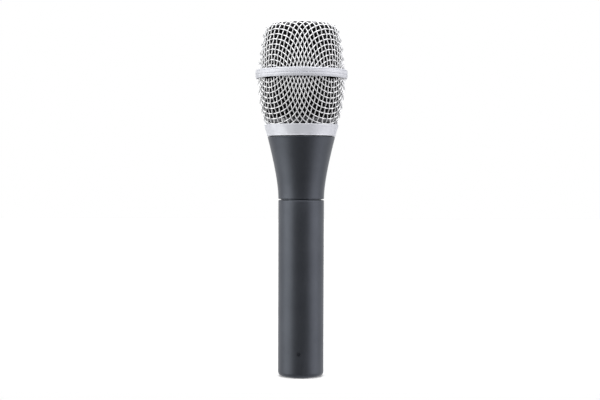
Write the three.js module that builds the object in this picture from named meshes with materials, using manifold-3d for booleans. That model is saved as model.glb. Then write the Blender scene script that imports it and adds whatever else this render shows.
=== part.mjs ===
// A handheld dynamic microphone, in millimetres, +Z up. It stands on its connector end,
// with the origin at the centre of its base. The front is the side that faces -Y.
import * as THREE from 'three';
import { mergeVertices } from 'three/addons/utils/BufferGeometryUtils.js';
import Module from 'manifold-3d';

const wasm = await Module();
wasm.setup();

// ---- driving dimensions ----

const GAP = 0.3; // kept between neighbouring pieces
const OVERSHOOT = 1; // how far a cutter passes the face it cuts
const OUTER_SEGMENTS = 32; // facets round the visible pieces
const INNER_SEGMENTS = 24; // facets round the pieces inside

const HANDLE = { radius: 12, wall: 1.5, top: 92.4, baseRounding: 2, topRounding: 0.5 };

const NECK = {
  bottom: 92.9, shoulder: 125.5, topRadius: 17.7, bottomRadius: 12.02, edgeRounding: 0.5,
  bendRadius: 12, bendHeight: 103, // the point that pulls the flare's outline inwards
  spigotRadius: 10.1, spigotBottom: 84, boreRadius: 9, // plugs into the handle
  threadRadius: 15.2, threadTop: 131.6, cradleRadius: 14, cradleFloor: 119,
  chamberRadius: 11.6, chamberTop: 118, chamberBottom: 108.2, // room round the air chamber
  throatRadius: 9.8, throatHeight: 102.2, boreTop: 100,
};

const COLLAR = {
  bottom: 125.9, top: 131.8, bottomRadius: 18.1, topRadius: 19.6, boreRadius: 15.6,
  lipHeight: 0.45, lipDepth: 0.12, seat: 132.9, flangeTop: 133.8, flangeRadius: 14.85,
  sleeveRadius: 16, counterboreRadius: 18.1, counterboreFloor: 130.6,
};

const MESH_THICKNESS = 1.2; // two crossing wires
const LOWER_CUP = { sideRadius: 72.3, widest: 22.9, widestHeight: 156, bottom: 132.3, top: 156.9 };
const DOME = {
  sideRadius: 77.8, widest: 22.35, widestHeight: 160, bottom: 158.7,
  sideAngle: THREE.MathUtils.degToRad(15.5), // where the side turns into the shoulder
  shoulderRadius: 5.35, crownAngle: THREE.MathUtils.degToRad(80),
};
const BELT = {
  radius: 24.15, bottom: 155.8, top: 160.3, bandBottom: 156.6, rounding: 0.5, wall: 0.75,
  topLipRadius: 22.75, bottomLipRadius: 23.25, lip: 0.6,
  webRadius: 21.2, webBottom: 157.2, webTop: 158.4, grooveHeight: 158.9, groove: 0.2,
};
const FOAM_THICKNESS = 3;
const CLAMP_BAND = { bottom: 130.9, top: 135, thickness: 0.6 };
const SEAL = { radius: 15.1, height: 132.25, thickness: 0.66 };

const CAP = { radius: 14.4, wall: 0.5, bottom: 157.5, top: 168, plate: 0.8, holeRadius: 1.1 };
const CASE = {
  radius: 13.6, wall: 0.5, top: 163.2, shoulder: 147.5, coneBottom: 143.5,
  sleeveRadius: 10.4, sleeveBore: 9.4, bottom: 138,
  ports: 8, portRadius: 1.1, portInner: 9.7, portOuter: 15.6, portDrop: 3, portRise: 1,
};
const SCREEN = { radius: 13.5, bottom: 163.5, thickness: 0.6 };
const DIAPHRAGM = {
  height: 160.5, thickness: 0.25, domeRadius: 6.6, domeRise: 1.7, radius: 11.8, rollRise: 0.7,
};
const COIL = { inner: 6.85, outer: 7.35, bottom: 155.6, top: 160.2 };
const FRAME = { inner: 12.1, outer: 12.8, bottom: 158.6, top: 162.9 };
const MOTOR = { // the magnetic circuit
  radius: 12.8, yokeBottom: 148, yokeFloor: 150, yokeTop: 156, yokeInner: 10.6,
  ventRadius: 1.2, magnetRadius: 6.2, magnetTop: 155, poleRadius: 6.4, plateInner: 7.8,
  plateBottom: 156.3, top: 158.3,
};
const CHAMBER = { radius: 9.1, wall: 0.8, bottom: 108, floor: 109, top: 147.7 };
const FELT = { radius: 8, bottom: 138, top: 142 };
const BOARD = { radius: 8.4, bottom: 106.2, top: 107.7 };
const TERMINAL = { radius: 0.5, offset: 4, bottom: 103.6, top: 105.9 };
const MOUNT = { // the rubber boot that carries the cartridge
  footInner: 12.2, footOuter: 13.7, footBottom: 119.3, footTop: 123.5,
  gripInner: 9.5, gripOuter: 11, gripBottom: 127.5, gripTop: 135,
  foldRadius: 12.6, foldHeight: 129, foldTop: 130.4, foldBottom: 128.4, foldInside: 123, wall: 1.2,
};

const CORE = { width: 15, height: 16, depth: 6, bottom: 44, leg: 4, rim: 2.3, yoke: 3 };
const BOBBIN = { wall: 0.5, flange: 0.6, reach: 2.6 };
const CUSHION = { inner: 8.7, outer: 10.1, bottom: 42.5, top: 61.5 };

const SHELL = { outer: 10.2, inner: 8.2, top: 20, latchWidth: 6, latchDepth: 0.9 };
const LATCH = { bottom: 6.4, top: 9.2 };
const INSERT = { radius: 7.9, face: 14.5, top: 20 };
const PIN = { radius: 1.2, circle: 5.25, tip: 2.3, top: 24, point: 0.6, sides: 12 };
const PIN_ANGLES = [145, 35, 270]; // degrees, pins 1 to 3
const LUG = { height: 20.35, thickness: 0.4, eye: 2.2, reach: 9.7, halfWidth: 1.2 };
const SCREW = { height: 12.6, angle: 264, radius: 1, inner: 8.9, outer: 11.9, slot: 0.4, sides: 10 };
const LEAD_RADIUS = 0.55;

// ---- finishes ----

const finish = (color, roughness, metalness) =>
  new THREE.MeshStandardMaterial({ color, roughness, metalness });

const FINISHES = {
  paint: finish(0x4a4d55, 0.45, 0.3),
  silver: finish(0xc9ccd4, 0.35, 0.9),
  wire: finish(0xb9bbc0, 0.3, 1),
  foam: finish(0x141416, 1, 0),
  rubber: finish(0x1b1b1d, 0.8, 0),
  plastic: finish(0x202226, 0.5, 0),
  brass: finish(0xc9a14e, 0.3, 1),
  copper: finish(0xb0673a, 0.35, 1),
  iron: finish(0x6d6f73, 0.45, 1),
  magnet: finish(0x3a3b3f, 0.4, 0.7),
  steel: finish(0x9a9ca1, 0.35, 1),
  film: finish(0xd8c79a, 0.3, 0),
  felt: finish(0xb8b0a0, 1, 0),
  board: finish(0x3c6b3f, 0.6, 0),
  redLead: finish(0xb2262a, 0.5, 0),
  blackLead: finish(0x1a1a1c, 0.5, 0),
};

// ---- shape helpers: outlines are lists of [radius, height] ----

// A body turned round the Z axis from an outline that is listed anticlockwise.
function turned(outline, segments) {
  const onAxis = outline[0][0] === 0 && outline.at(-1)[0] === 0;
  const points = onAxis ? outline : [...outline, outline[0]];
  const profile = points.map(([radius, height]) => new THREE.Vector2(radius, height));
  return new THREE.LatheGeometry(profile, segments).rotateX(Math.PI / 2);
}

function ring(inner, outer, bottom, top, segments = INNER_SEGMENTS) {
  return turned([[inner, bottom], [outer, bottom], [outer, top], [inner, top]], segments);
}

function disc(radius, bottom, top, segments = INNER_SEGMENTS) {
  return turned([[0, bottom], [radius, bottom], [radius, top], [0, top]], segments);
}

// Points on a circle in the outline's plane, with angles in radians from the radius axis.
function arc(centreRadius, centreHeight, size, from, to, steps) {
  const points = [];
  for (let step = 0; step <= steps; step += 1) {
    const angle = from + ((to - from) * step) / steps;
    points.push([centreRadius + size * Math.cos(angle), centreHeight + size * Math.sin(angle)]);
  }
  return points;
}

function rod(radius, from, to, sides) {
  const line = new THREE.LineCurve3(from, to);
  return tube(line, radius, sides, 1);
}

function tube(path, radius, sides, steps) {
  const section = new THREE.Shape();
  for (let side = 0; side < sides; side += 1) {
    const angle = (2 * Math.PI * side) / sides;
    const point = [radius * Math.cos(angle), radius * Math.sin(angle)];
    if (side === 0) section.moveTo(...point);
    else section.lineTo(...point);
  }
  return new THREE.ExtrudeGeometry(section, { extrudePath: path, steps, bevelEnabled: false });
}

function box(sizes, centre) {
  return new THREE.BoxGeometry(...sizes).translate(...centre);
}

function polar(radius, degrees, height) {
  const angle = THREE.MathUtils.degToRad(degrees);
  return new THREE.Vector3(radius * Math.cos(angle), radius * Math.sin(angle), height);
}

// ---- booleans ----

function toSolid(geometry) {
  const bare = geometry.clone();
  bare.deleteAttribute('normal');
  bare.deleteAttribute('uv');
  const merged = mergeVertices(bare, 1e-4);
  const index = merged.index.array;
  const triVerts = [];
  for (let at = 0; at < index.length; at += 3) {
    const [a, b, c] = index.slice(at, at + 3);
    if (a !== b && b !== c && c !== a) triVerts.push(a, b, c);
  }
  const vertProperties = new Float32Array(merged.attributes.position.array);
  return new wasm.Manifold(
    new wasm.Mesh({ numProp: 3, vertProperties, triVerts: new Uint32Array(triVerts) }),
  );
}

function toGeometry(solid) {
  const mesh = solid.getMesh();
  const geometry = new THREE.BufferGeometry();
  geometry.setAttribute('position', new THREE.BufferAttribute(mesh.vertProperties, 3));
  geometry.setIndex(new THREE.BufferAttribute(mesh.triVerts, 1));
  geometry.computeVertexNormals();
  return geometry;
}

function cut(geometry, ...cutters) {
  const left = cutters.reduce((solid, cutter) => solid.subtract(toSolid(cutter)), toSolid(geometry));
  return toGeometry(left);
}

function join(...geometries) {
  const solids = geometries.map(toSolid);
  return toGeometry(solids.reduce((whole, solid) => whole.add(solid)));
}

// ---- grille: two woven cups, the belt that joins them, the collar and the foam ----

// The lower cup's side, moved inwards by an offset, from one height up to another.
function lowerCupOutline(offset, bottom, top, steps) {
  const size = LOWER_CUP.sideRadius - offset;
  const centre = LOWER_CUP.widest - LOWER_CUP.sideRadius;
  const angleAt = (height) => Math.asin((height - LOWER_CUP.widestHeight) / size);
  return arc(centre, LOWER_CUP.widestHeight, size, angleAt(bottom), angleAt(top), steps);
}

// The dome's side, shoulder and crown, moved inwards, from its open edge to the top.
function domeOutline(offset, bottom) {
  const sideCentre = DOME.widest - DOME.sideRadius;
  const toShoulder = DOME.sideRadius - DOME.shoulderRadius;
  const shoulderCentre = [
    sideCentre + toShoulder * Math.cos(DOME.sideAngle),
    DOME.widestHeight + toShoulder * Math.sin(DOME.sideAngle),
  ];
  const crownRadius = DOME.shoulderRadius + shoulderCentre[0] / Math.cos(DOME.crownAngle);
  const crownCentre = shoulderCentre[1]
    - (crownRadius - DOME.shoulderRadius) * Math.sin(DOME.crownAngle);
  const side = DOME.sideRadius - offset;
  const start = Math.asin((bottom - DOME.widestHeight) / side);
  const shoulder = DOME.shoulderRadius - offset;
  const crown = arc(0, crownCentre, crownRadius - offset, DOME.crownAngle, Math.PI / 2, 2);
  crown.at(-1)[0] = 0;
  return [
    ...arc(sideCentre, DOME.widestHeight, side, start, DOME.sideAngle, 4).slice(0, -1),
    ...arc(...shoulderCentre, shoulder, DOME.sideAngle, DOME.crownAngle, 3).slice(0, -1),
    ...crown,
  ];
}

function domeShell(outerOffset, thickness, bottom, segments) {
  const outside = domeOutline(outerOffset, bottom);
  const inside = domeOutline(outerOffset + thickness, bottom).reverse();
  return turned([...inside, ...outside], segments);
}

function lowerCupShell(outerOffset, thickness, bottom, top, steps, segments) {
  const outside = lowerCupOutline(outerOffset, bottom, top, steps);
  const inside = lowerCupOutline(outerOffset + thickness, bottom, top, steps).reverse();
  return turned([...outside, ...inside], segments);
}

function beltRing() {
  const inner = BELT.radius - BELT.wall;
  const { bottomLipRadius, topLipRadius, webRadius, webBottom, webTop, lip, groove } = BELT;
  return turned([
    [bottomLipRadius, BELT.bottom],
    [BELT.radius, BELT.bandBottom],
    [BELT.radius, BELT.grooveHeight - groove],
    [BELT.radius - groove, BELT.grooveHeight],
    [BELT.radius, BELT.grooveHeight + groove],
    ...arc(BELT.radius - BELT.rounding, BELT.top - BELT.rounding, BELT.rounding, 0, Math.PI / 2, 2),
    [topLipRadius, BELT.top],
    [topLipRadius, BELT.top - lip],
    [inner, BELT.top - lip],
    [inner, webTop],
    [webRadius, webTop],
    [webRadius, webBottom],
    [inner, webBottom],
    [inner, BELT.bottom + 2 * lip],
    [bottomLipRadius, BELT.bottom + lip],
  ], OUTER_SEGMENTS);
}

function grilleCollar() {
  const { bottom, top, bottomRadius, topRadius, lipHeight, lipDepth } = COLLAR;
  return turned([
    [COLLAR.boreRadius, bottom],
    [bottomRadius, bottom],
    [bottomRadius, bottom + lipHeight],
    [bottomRadius - lipDepth, bottom + lipHeight],
    [topRadius, top - lipHeight],
    [topRadius - lipHeight, top],
    [COLLAR.counterboreRadius, top],
    [COLLAR.counterboreRadius, COLLAR.counterboreFloor],
    [COLLAR.sleeveRadius, COLLAR.counterboreFloor],
    [COLLAR.sleeveRadius, COLLAR.flangeTop],
    [COLLAR.flangeRadius, COLLAR.flangeTop],
    [COLLAR.flangeRadius, COLLAR.seat],
    [COLLAR.boreRadius, COLLAR.seat],
  ], OUTER_SEGMENTS);
}

function clampRing() {
  const { bottom, top, thickness } = CLAMP_BAND;
  return lowerCupShell(MESH_THICKNESS + GAP, thickness, bottom, top, 1, OUTER_SEGMENTS);
}

function threadSeal() {
  const half = SEAL.thickness / 2;
  const loop = arc(SEAL.radius, SEAL.height, half, 0, 2 * Math.PI, 6).slice(0, -1);
  return turned(loop, OUTER_SEGMENTS);
}

// ---- cartridge ----

function resonatorCap() {
  const inner = CAP.radius - CAP.wall;
  const under = CAP.top - CAP.plate;
  const shell = turned([
    [0, under],
    [inner, under],
    [inner, CAP.bottom],
    [CAP.radius, CAP.bottom],
    [CAP.radius, CAP.top - CAP.wall],
    [CAP.radius - CAP.wall, CAP.top],
    [0, CAP.top],
  ], INNER_SEGMENTS);
  const holes = [];
  for (const [count, circle] of [[1, 0], [6, 4.4], [12, 8.8]]) {
    for (let hole = 0; hole < count; hole += 1) {
      const from = polar(circle, (360 * hole) / count, under - OVERSHOOT);
      const to = polar(circle, (360 * hole) / count, CAP.top + OVERSHOOT);
      holes.push(rod(CAP.holeRadius, from, to, 8));
    }
  }
  return cut(shell, ...holes);
}

function cartridgeCase() {
  const inner = CASE.radius - CASE.wall;
  const shell = turned([
    [CASE.sleeveBore, CASE.bottom],
    [CASE.sleeveRadius, CASE.bottom],
    [CASE.sleeveRadius, CASE.coneBottom],
    [CASE.radius, CASE.shoulder],
    [CASE.radius, CASE.top],
    [inner, CASE.top],
    [inner, CASE.shoulder + CASE.wall / 2],
    [CASE.sleeveBore, CASE.coneBottom],
  ], INNER_SEGMENTS);
  const middle = (CASE.coneBottom + CASE.shoulder) / 2;
  const ports = [];
  for (let port = 0; port < CASE.ports; port += 1) {
    const angle = (360 * port) / CASE.ports;
    ports.push(rod(CASE.portRadius, polar(CASE.portInner, angle, middle + CASE.portRise),
      polar(CASE.portOuter, angle, middle + CASE.portRise - CASE.portDrop), 8));
  }
  return cut(shell, ...ports);
}

// A thin dome with a raised roll round it, of one thickness.
function diaphragm() {
  const { height, thickness, domeRadius, domeRise, radius, rollRise } = DIAPHRAGM;
  const sheet = [];
  for (let step = 0; step <= 4; step += 1) {
    const along = step / 4;
    sheet.push([domeRadius * along, height + domeRise * (1 - along * along)]);
  }
  const rollInner = COIL.outer;
  for (let step = 0; step <= 4; step += 1) {
    const along = step / 4;
    const rise = rollRise * Math.sin(Math.PI * along);
    sheet.push([rollInner + (radius - rollInner) * along, height + rise]);
  }
  const upper = sheet.map(([r, z]) => [r, z + thickness]).reverse();
  return turned([...sheet, ...upper], INNER_SEGMENTS);
}

function magnetYoke() {
  return turned([
    [MOTOR.ventRadius, MOTOR.yokeBottom],
    [MOTOR.radius, MOTOR.yokeBottom],
    [MOTOR.radius, MOTOR.yokeTop],
    [MOTOR.yokeInner, MOTOR.yokeTop],
    [MOTOR.yokeInner, MOTOR.yokeFloor],
    [MOTOR.ventRadius, MOTOR.yokeFloor],
  ], INNER_SEGMENTS);
}

function rearChamber() {
  const inner = CHAMBER.radius - CHAMBER.wall;
  return turned([
    [0, CHAMBER.bottom],
    [CHAMBER.radius, CHAMBER.bottom],
    [CHAMBER.radius, CHAMBER.top],
    [inner, CHAMBER.top],
    [inner, CHAMBER.floor],
    [0, CHAMBER.floor],
  ], INNER_SEGMENTS);
}

function shockMount() {
  return turned([
    [MOUNT.footInner, MOUNT.footBottom],
    [MOUNT.footOuter, MOUNT.footBottom],
    [MOUNT.footOuter, MOUNT.footTop],
    [MOUNT.foldRadius + MOUNT.wall / 2, MOUNT.foldHeight],
    [MOUNT.gripOuter, MOUNT.foldTop],
    [MOUNT.gripOuter, MOUNT.gripTop],
    [MOUNT.gripInner, MOUNT.gripTop],
    [MOUNT.gripInner, MOUNT.gripBottom],
    [MOUNT.gripOuter, MOUNT.foldBottom],
    [MOUNT.foldRadius - MOUNT.wall / 2, MOUNT.foldInside],
  ], INNER_SEGMENTS);
}

// ---- handle ----

// A rod along the set screw's axis, which points outwards through the base.
function screwRod(radius, from, to) {
  return rod(radius, polar(from, SCREW.angle, SCREW.height), polar(to, SCREW.angle, SCREW.height),
    SCREW.sides);
}

function handleTube() {
  const inner = HANDLE.radius - HANDLE.wall;
  const { baseRounding, topRounding, radius, top } = HANDLE;
  const cutAngle = -Math.acos((inner - (radius - baseRounding)) / baseRounding);
  const shell = turned([
    ...arc(radius - baseRounding, baseRounding, baseRounding, cutAngle, 0, 3),
    ...arc(radius - topRounding, top - topRounding, topRounding, 0, Math.PI / 2, 2),
    [inner, top],
  ], OUTER_SEGMENTS);
  return cut(shell, screwRod(SCREW.radius + GAP, inner - OVERSHOOT, radius + OVERSHOOT));
}

function neckHousing() {
  const flare = new THREE.QuadraticBezierCurve(
    new THREE.Vector2(NECK.bottomRadius, NECK.bottom + NECK.edgeRounding),
    new THREE.Vector2(NECK.bendRadius, NECK.bendHeight),
    new THREE.Vector2(NECK.topRadius, NECK.shoulder - NECK.edgeRounding / 2),
  ).getPoints(9).map((point) => [point.x, point.y]);
  return turned([
    [NECK.boreRadius, NECK.spigotBottom],
    [NECK.spigotRadius, NECK.spigotBottom],
    [NECK.spigotRadius, NECK.bottom],
    [NECK.bottomRadius - NECK.edgeRounding, NECK.bottom],
    ...flare,
    [NECK.topRadius - NECK.edgeRounding / 2, NECK.shoulder],
    [NECK.threadRadius, NECK.shoulder],
    [NECK.threadRadius, NECK.threadTop],
    [NECK.cradleRadius, NECK.threadTop],
    [NECK.cradleRadius, NECK.cradleFloor],
    [NECK.chamberRadius, NECK.chamberTop],
    [NECK.chamberRadius, NECK.chamberBottom],
    [NECK.throatRadius, NECK.throatHeight],
    [NECK.boreRadius, NECK.boreTop],
  ], OUTER_SEGMENTS);
}

// ---- transformer, with its coil round the middle leg of an E and I core ----

function transformerCore() {
  const { width, height, depth, bottom, leg, rim, yoke } = CORE;
  const middle = bottom + height / 2;
  const windowWidth = width / 2 - rim - leg / 2;
  const windows = [-1, 1].map((side) => box([windowWidth, 2 * depth, height - 2 * yoke],
    [side * (leg + windowWidth) / 2, 0, middle]));
  return cut(box([width, depth, height], [0, 0, middle]), ...windows);
}

// A square tube round the core's middle leg, from one inner margin to one outer margin.
function legSleeve(innerMargin, outerMargin, bottom, top) {
  const block = (margin, height) => box(
    [CORE.leg + 2 * margin, CORE.depth + 2 * margin, height], [0, 0, (bottom + top) / 2]);
  return cut(block(outerMargin, top - bottom), block(innerMargin, 2 * (top - bottom)));
}

const WINDOW_BOTTOM = CORE.bottom + CORE.yoke + GAP;
const WINDOW_TOP = CORE.bottom + CORE.height - CORE.yoke - GAP;

function transformerBobbin() {
  const { wall, flange, reach } = BOBBIN;
  return join(
    legSleeve(GAP, GAP + wall, WINDOW_BOTTOM, WINDOW_TOP),
    legSleeve(GAP, GAP + reach, WINDOW_BOTTOM, WINDOW_BOTTOM + flange),
    legSleeve(GAP, GAP + reach, WINDOW_TOP - flange, WINDOW_TOP),
  );
}

function transformerWinding() {
  const margin = BOBBIN.flange + GAP;
  return legSleeve(2 * GAP + BOBBIN.wall, BOBBIN.reach, WINDOW_BOTTOM + margin,
    WINDOW_TOP - margin);
}

// ---- connector in the base ----

function connectorShell() {
  const shell = ring(SHELL.inner, SHELL.outer, 0, SHELL.top, OUTER_SEGMENTS);
  const latchSize = [SHELL.latchWidth, 2 * SHELL.latchDepth, LATCH.top - LATCH.bottom];
  const latch = box(latchSize, [0, SHELL.inner, (LATCH.top + LATCH.bottom) / 2]);
  const screwHole = screwRod(SCREW.radius + GAP, SCREW.inner - GAP, SHELL.outer + OVERSHOOT);
  return cut(shell, latch, screwHole);
}

function connectorInsert() {
  const holes = PIN_ANGLES.map((angle) => rod(PIN.radius + GAP,
    polar(PIN.circle, angle, INSERT.face - OVERSHOOT),
    polar(PIN.circle, angle, INSERT.top + OVERSHOOT), PIN.sides));
  return cut(disc(INSERT.radius, INSERT.face, INSERT.top), ...holes);
}

function contactPin(angle) {
  const centre = polar(PIN.circle, angle, 0);
  return turned([
    [0, PIN.tip],
    [PIN.radius - PIN.point, PIN.tip],
    [PIN.radius, PIN.tip + PIN.point],
    [PIN.radius, PIN.top],
    [0, PIN.top],
  ], PIN.sides).translate(centre.x, centre.y, 0);
}

function groundLug() {
  const outline = new THREE.Shape();
  const start = Math.asin(LUG.halfWidth / LUG.eye);
  outline.absarc(0, 0, LUG.eye, start, 2 * Math.PI - start, false);
  outline.lineTo(LUG.reach - PIN.circle, -LUG.halfWidth);
  outline.lineTo(LUG.reach - PIN.circle, LUG.halfWidth);
  const eye = new THREE.Path();
  eye.absarc(0, 0, PIN.radius + GAP, 0, 2 * Math.PI, true);
  outline.holes.push(eye);
  const centre = polar(PIN.circle, PIN_ANGLES[0], LUG.height);
  const options = { depth: LUG.thickness, bevelEnabled: false, curveSegments: 6 };
  return new THREE.ExtrudeGeometry(outline, options)
    .rotateZ(THREE.MathUtils.degToRad(PIN_ANGLES[0]))
    .translate(centre.x, centre.y, centre.z);
}

function setScrew() {
  const slot = box([3 * SCREW.radius, 2 * SCREW.slot, SCREW.slot], [0, 0, 0]);
  const head = polar(SCREW.outer, SCREW.angle, SCREW.height);
  slot.rotateZ(THREE.MathUtils.degToRad(SCREW.angle + 90)).translate(head.x, head.y, head.z);
  return cut(screwRod(SCREW.radius, SCREW.inner, SCREW.outer), slot);
}

// ---- leads: each runs through points that are listed from its upper end ----

function lead(points) {
  const path = new THREE.CatmullRomCurve3(points.map((point) => new THREE.Vector3(...point)));
  return tube(path, LEAD_RADIUS, 6, 4 * (points.length - 1));
}

function cartridgeLead(side) {
  return lead([
    [side * TERMINAL.offset, 0, TERMINAL.bottom - GAP],
    [side * TERMINAL.offset, 1.2, 98],
    [side * 2.6, 2.6, 84],
    [side * 4.2, 1, 73],
    [side * 4.8, 4.6, CORE.bottom + CORE.height + 1],
    [side * 4, CORE.depth / 2 + 1.6, WINDOW_TOP + GAP + LEAD_RADIUS],
  ]);
}

function pinLead(pin, start, bulge) {
  const end = polar(PIN.circle, PIN_ANGLES[pin - 1], PIN.top + GAP);
  return lead([start, bulge, [end.x, end.y, end.z + 5], [end.x, end.y, end.z]]);
}

// ---- the assembly ----

function assembly(pieces) {
  const group = new THREE.Group();
  for (const [name, geometry, material] of pieces) {
    const mesh = new THREE.Mesh(geometry, material.clone());
    mesh.name = name;
    group.add(mesh);
  }
  return group;
}

const F = FINISHES;
const foamOffset = MESH_THICKNESS + GAP;

const grille = assembly([
  ['grille_upper_mesh', domeShell(0, MESH_THICKNESS, DOME.bottom, OUTER_SEGMENTS), F.wire],
  ['grille_lower_mesh', lowerCupShell(0, MESH_THICKNESS, LOWER_CUP.bottom, LOWER_CUP.top, 4,
    OUTER_SEGMENTS), F.wire],
  ['belt_ring', beltRing(), F.silver],
  ['grille_collar', grilleCollar(), F.silver],
  ['mesh_clamp_ring', clampRing(), F.steel],
  ['thread_seal', threadSeal(), F.rubber],
  ['foam_upper', domeShell(foamOffset, FOAM_THICKNESS, BELT.webBottom, INNER_SEGMENTS), F.foam],
  ['foam_lower', lowerCupShell(foamOffset, FOAM_THICKNESS, CLAMP_BAND.top + GAP, LOWER_CUP.top, 3,
    INNER_SEGMENTS), F.foam],
]);

const cartridge = assembly([
  ['resonator_cap', resonatorCap(), F.steel],
  ['acoustic_screen', disc(SCREEN.radius, SCREEN.bottom, SCREEN.bottom + SCREEN.thickness), F.felt],
  ['cartridge_case', cartridgeCase(), F.plastic],
  ['diaphragm_frame', ring(FRAME.inner, FRAME.outer, FRAME.bottom, FRAME.top), F.brass],
  ['diaphragm', diaphragm(), F.film],
  ['voice_coil', ring(COIL.inner, COIL.outer, COIL.bottom, COIL.top), F.copper],
  ['top_plate', ring(MOTOR.plateInner, MOTOR.radius, MOTOR.plateBottom, MOTOR.top), F.iron],
  ['pole_piece', ring(MOTOR.ventRadius, MOTOR.poleRadius, MOTOR.magnetTop + GAP, MOTOR.top), F.iron],
  ['magnet', ring(MOTOR.ventRadius, MOTOR.magnetRadius, MOTOR.yokeFloor + GAP, MOTOR.magnetTop),
    F.magnet],
  ['magnet_yoke', magnetYoke(), F.iron],
  ['rear_chamber', rearChamber(), F.steel],
  ['chamber_felt', disc(FELT.radius, FELT.bottom, FELT.top), F.felt],
  ['terminal_board', disc(BOARD.radius, BOARD.bottom, BOARD.top), F.board],
  ['shock_mount', shockMount(), F.rubber],
]);
for (const [number, side] of [[1, -1], [2, 1]]) {
  const from = new THREE.Vector3(side * TERMINAL.offset, 0, TERMINAL.bottom);
  const to = new THREE.Vector3(side * TERMINAL.offset, 0, TERMINAL.top);
  cartridge.add(...assembly([
    [`terminal_${number}`, rod(TERMINAL.radius, from, to, 8), F.brass],
  ]).children);
}

const handle = assembly([
  ['handle_tube', handleTube(), F.paint],
  ['neck_housing', neckHousing(), F.paint],
  ['transformer_core', transformerCore(), F.iron],
  ['transformer_bobbin', transformerBobbin(), F.plastic],
  ['transformer_winding', transformerWinding(), F.copper],
  ['transformer_cushion', ring(CUSHION.inner, CUSHION.outer, CUSHION.bottom, CUSHION.top), F.foam],
  ['connector_shell', connectorShell(), F.steel],
  ['connector_insert', connectorInsert(), F.plastic],
  ...PIN_ANGLES.map((angle, index) => [`pin_${index + 1}`, contactPin(angle), F.brass]),
  ['ground_lug', groundLug(), F.steel],
  ['set_screw', setScrew(), F.steel],
  ['lead_hot', cartridgeLead(1), F.redLead],
  ['lead_cold', cartridgeLead(-1), F.blackLead],
  ['lead_pin_2', pinLead(2, [5.2, 4.6, CORE.bottom], [6.2, 4.4, 36]), F.redLead],
  ['lead_pin_3', pinLead(3, [0, -5.4, CORE.bottom], [2, -6, 36]), F.blackLead],
  ['lead_ground', pinLead(1, [-6.6, 4.4, CORE.bottom - GAP], [-6.4, 4, 36]), F.blackLead],
]);

const microphone = new THREE.Group();
microphone.add(handle, cartridge, grille);

export default microphone;
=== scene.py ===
"""Looks for a handheld dynamic microphone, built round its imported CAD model.

Lengths in this script are in millimetres, and are multiplied by MM where Blender takes them.
Outlines are lists of (radius, height), turned round the Z axis. The front of the microphone
faces -Y.
"""

import math
import random

import bmesh
import bpy
from mathutils import Matrix, Vector


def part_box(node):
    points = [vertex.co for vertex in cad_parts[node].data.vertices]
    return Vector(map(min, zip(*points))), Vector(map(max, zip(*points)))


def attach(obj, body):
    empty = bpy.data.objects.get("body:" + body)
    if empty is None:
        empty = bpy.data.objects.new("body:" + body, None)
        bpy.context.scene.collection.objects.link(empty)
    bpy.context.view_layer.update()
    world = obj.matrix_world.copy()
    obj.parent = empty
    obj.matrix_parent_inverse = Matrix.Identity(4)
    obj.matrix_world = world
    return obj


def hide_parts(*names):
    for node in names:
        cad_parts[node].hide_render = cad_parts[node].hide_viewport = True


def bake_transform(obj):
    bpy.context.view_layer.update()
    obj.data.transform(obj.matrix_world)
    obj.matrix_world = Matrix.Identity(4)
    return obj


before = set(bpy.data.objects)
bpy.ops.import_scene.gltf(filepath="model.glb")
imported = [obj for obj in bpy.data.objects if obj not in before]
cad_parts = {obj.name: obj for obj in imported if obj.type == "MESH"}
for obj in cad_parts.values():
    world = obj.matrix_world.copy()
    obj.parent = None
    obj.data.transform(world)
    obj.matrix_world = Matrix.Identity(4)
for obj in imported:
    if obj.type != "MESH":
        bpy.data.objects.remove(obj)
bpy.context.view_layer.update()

MM = 0.001
FRONT = -90.0  # degrees, the way the front faces
CONE_TOP = 131.8  # the top edge of the collar's cone
FINE = 144  # facets round the large outer pieces
MEDIUM = 72  # facets round the pieces inside


# ---- the frame's sizes ----

def span(node):
    """(outer radius, bottom, top) of a round CAD node."""
    low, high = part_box(node)
    return high.x / MM, low.z / MM, high.z / MM


HANDLE_R, _, HANDLE_TOP = span("handle_tube")
NECK_TOP_R, SPIGOT_BOTTOM, THREAD_TOP = span("neck_housing")
COLLAR_R, COLLAR_BOTTOM, FLANGE_TOP = span("grille_collar")
BELT_R, BELT_BOTTOM, BELT_TOP = span("belt_ring")
_, DOME_BOTTOM, DOME_TOP = span("grille_upper_mesh")
_, _, CUP_TOP = span("grille_lower_mesh")


# ---- outlines ----

def arc(centre, radius, start, end, steps):
    """Points on a circle, from one angle to another, in degrees from the radius axis."""
    points = []
    for step in range(steps + 1):
        angle = math.radians(start + (end - start) * step / steps)
        points.append((centre[0] + radius * math.cos(angle), centre[1] + radius * math.sin(angle)))
    return points


def rounded(corners):
    """A closed outline. A corner with a third number is rounded by that radius."""
    steps = 5
    outline = []
    for at, corner in enumerate(corners):
        here = Vector(corner[:2])
        if len(corner) == 2:
            outline.append(tuple(here))
            continue
        before = (Vector(corners[at - 1][:2]) - here).normalized()
        after = (Vector(corners[(at + 1) % len(corners)][:2]) - here).normalized()
        half = before.angle(after) / 2
        centre = here + (before + after).normalized() * corner[2] / math.sin(half)
        reach = corner[2] / math.tan(half)
        first, last = here + before * reach - centre, here + after * reach - centre
        turn = first.angle_signed(last)
        for step in range(steps + 1):
            spoke = first.copy()
            spoke.rotate(Matrix.Rotation(-turn * step / steps, 2))
            outline.append(tuple(centre + spoke))
    return outline


# ---- meshes ----

def add_object(name, mesh):
    piece = bpy.data.objects.new(name, mesh)
    bpy.context.scene.collection.objects.link(piece)
    return piece


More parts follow.
